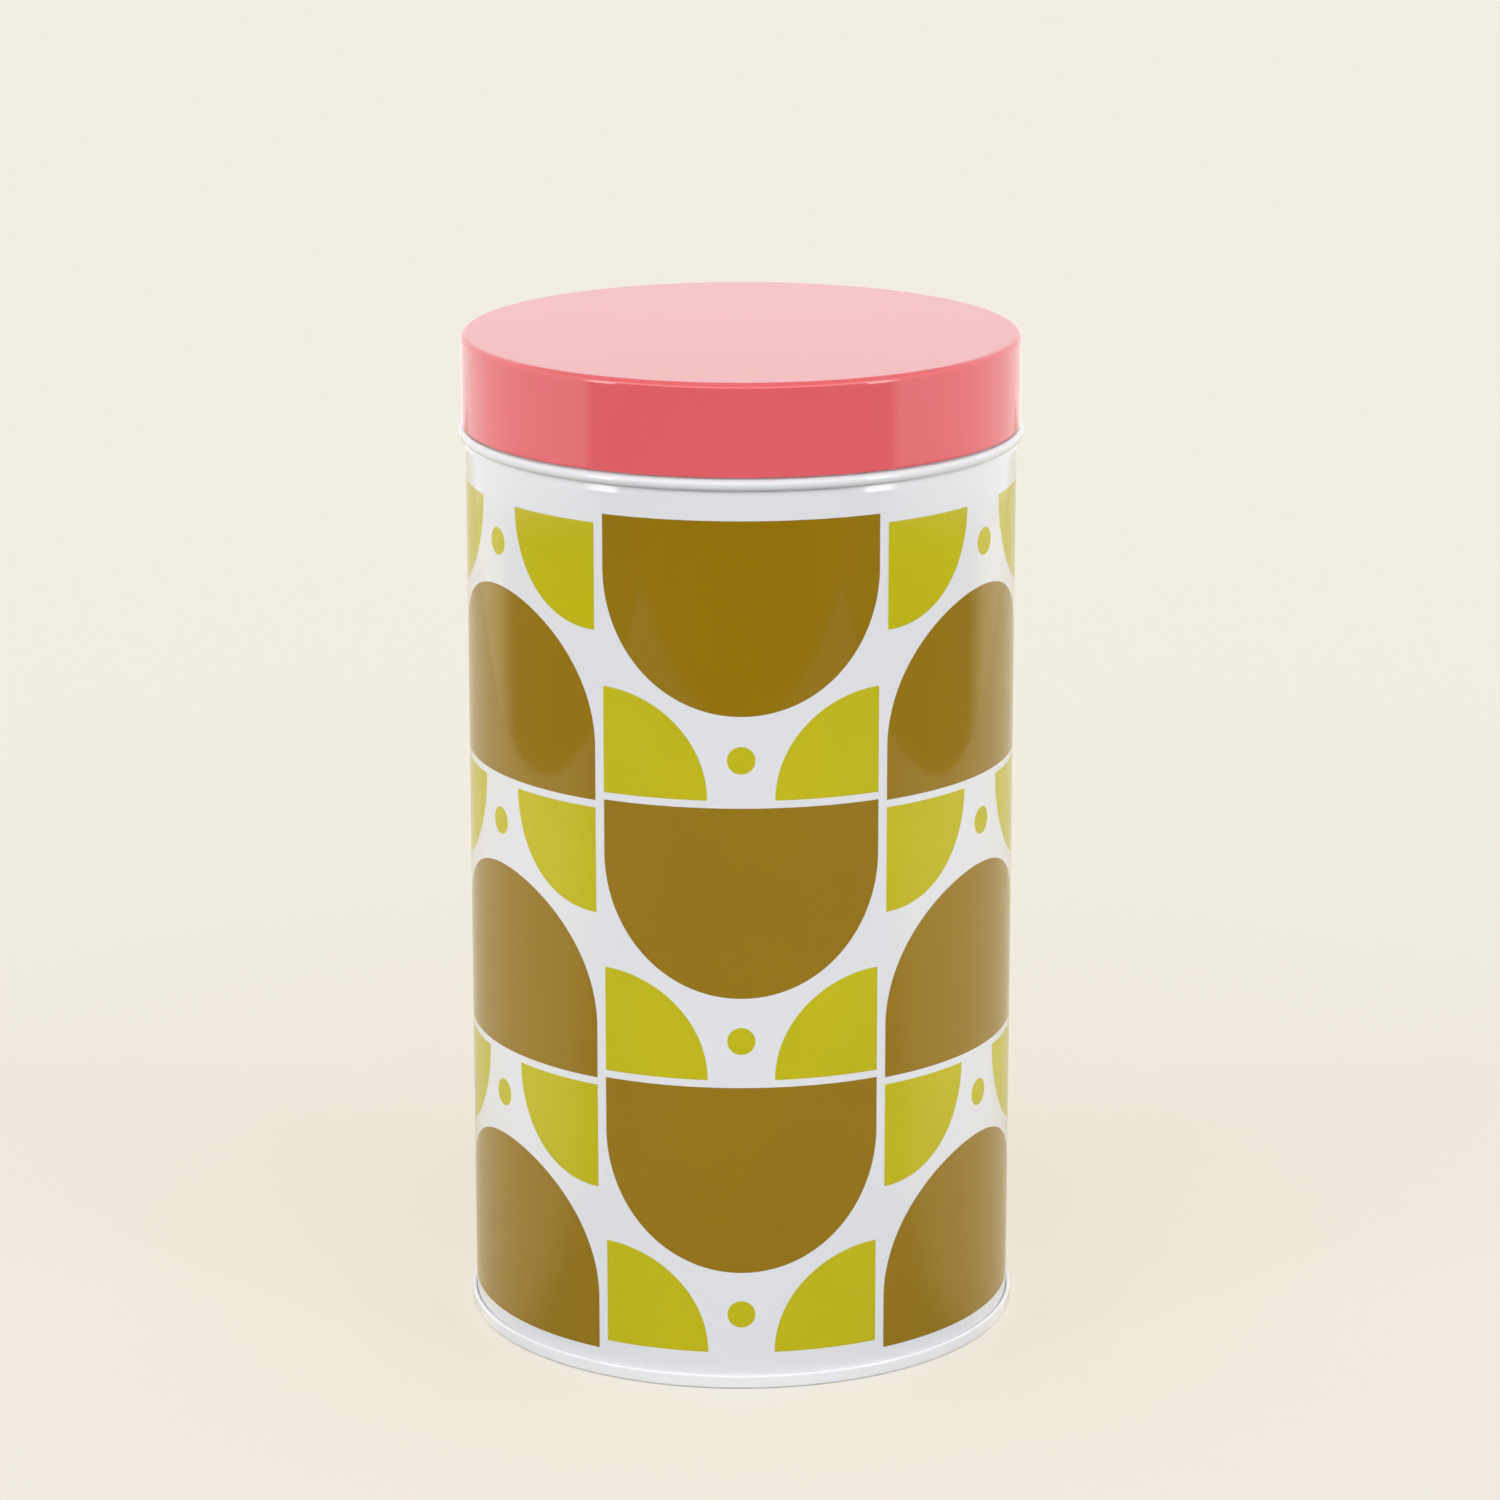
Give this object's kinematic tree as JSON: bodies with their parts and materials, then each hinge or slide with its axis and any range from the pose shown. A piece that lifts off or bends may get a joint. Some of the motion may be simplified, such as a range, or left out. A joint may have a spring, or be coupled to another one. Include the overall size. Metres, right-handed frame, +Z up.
{
  "type": "coffee tin",
  "caption": "Tall round tinplate storage tin with a slip-over outer lid, a stop bead, a double-seamed base and a sealed inner lid with a knob.",
  "frame": {"origin": "centre of the ring that the base seam stands on, at z = 0", "axes": "+Z up along the tin's axis, -Y towards the side shown in front, +Y towards the side seam"},
  "size_m": [0.106, 0.106, 0.191],
  "materials": {
    "printed_enamel": "gloss white enamel with an olive and yellow-green print",
    "plain_enamel": "gloss white enamel under the base and on the base seam",
    "lid_enamel": "gloss coral pink enamel",
    "tinplate": "bright tinplate",
    "seam_compound": "matt sealing compound",
    "silicone": "satin translucent white silicone",
    "knob_aluminium": "turned and lacquered",
    "screw_steel": "zinc plated"
  },
  "bodies": {
    "tin": {"body_wall": "printed_enamel", "base_end": "plain_enamel", "base_seam_compound": "seam_compound"},
    "outer_lid": {"outer_lid": "lid_enamel"},
    "inner_lid": {"inner_lid_pan": "tinplate", "inner_lid_seal": "silicone", "inner_lid_knob": "knob_aluminium", "knob_washer": "silicone", "knob_screw": "screw_steel"}
  },
  "joints": [
    {"name": "outer_lid_lift", "type": "slide", "parent": "tin", "child": "outer_lid", "axis": [0, 0, 1], "range_m": [0, 0.12]},
    {"name": "inner_lid_lift", "type": "slide", "parent": "tin", "child": "inner_lid", "axis": [0, 0, 1], "range_m": [0, 0.06]}
  ],
  "couplings": [
    {"joint": "inner_lid_lift", "follows": "outer_lid_lift", "ratio": 0.5}
  ]
}
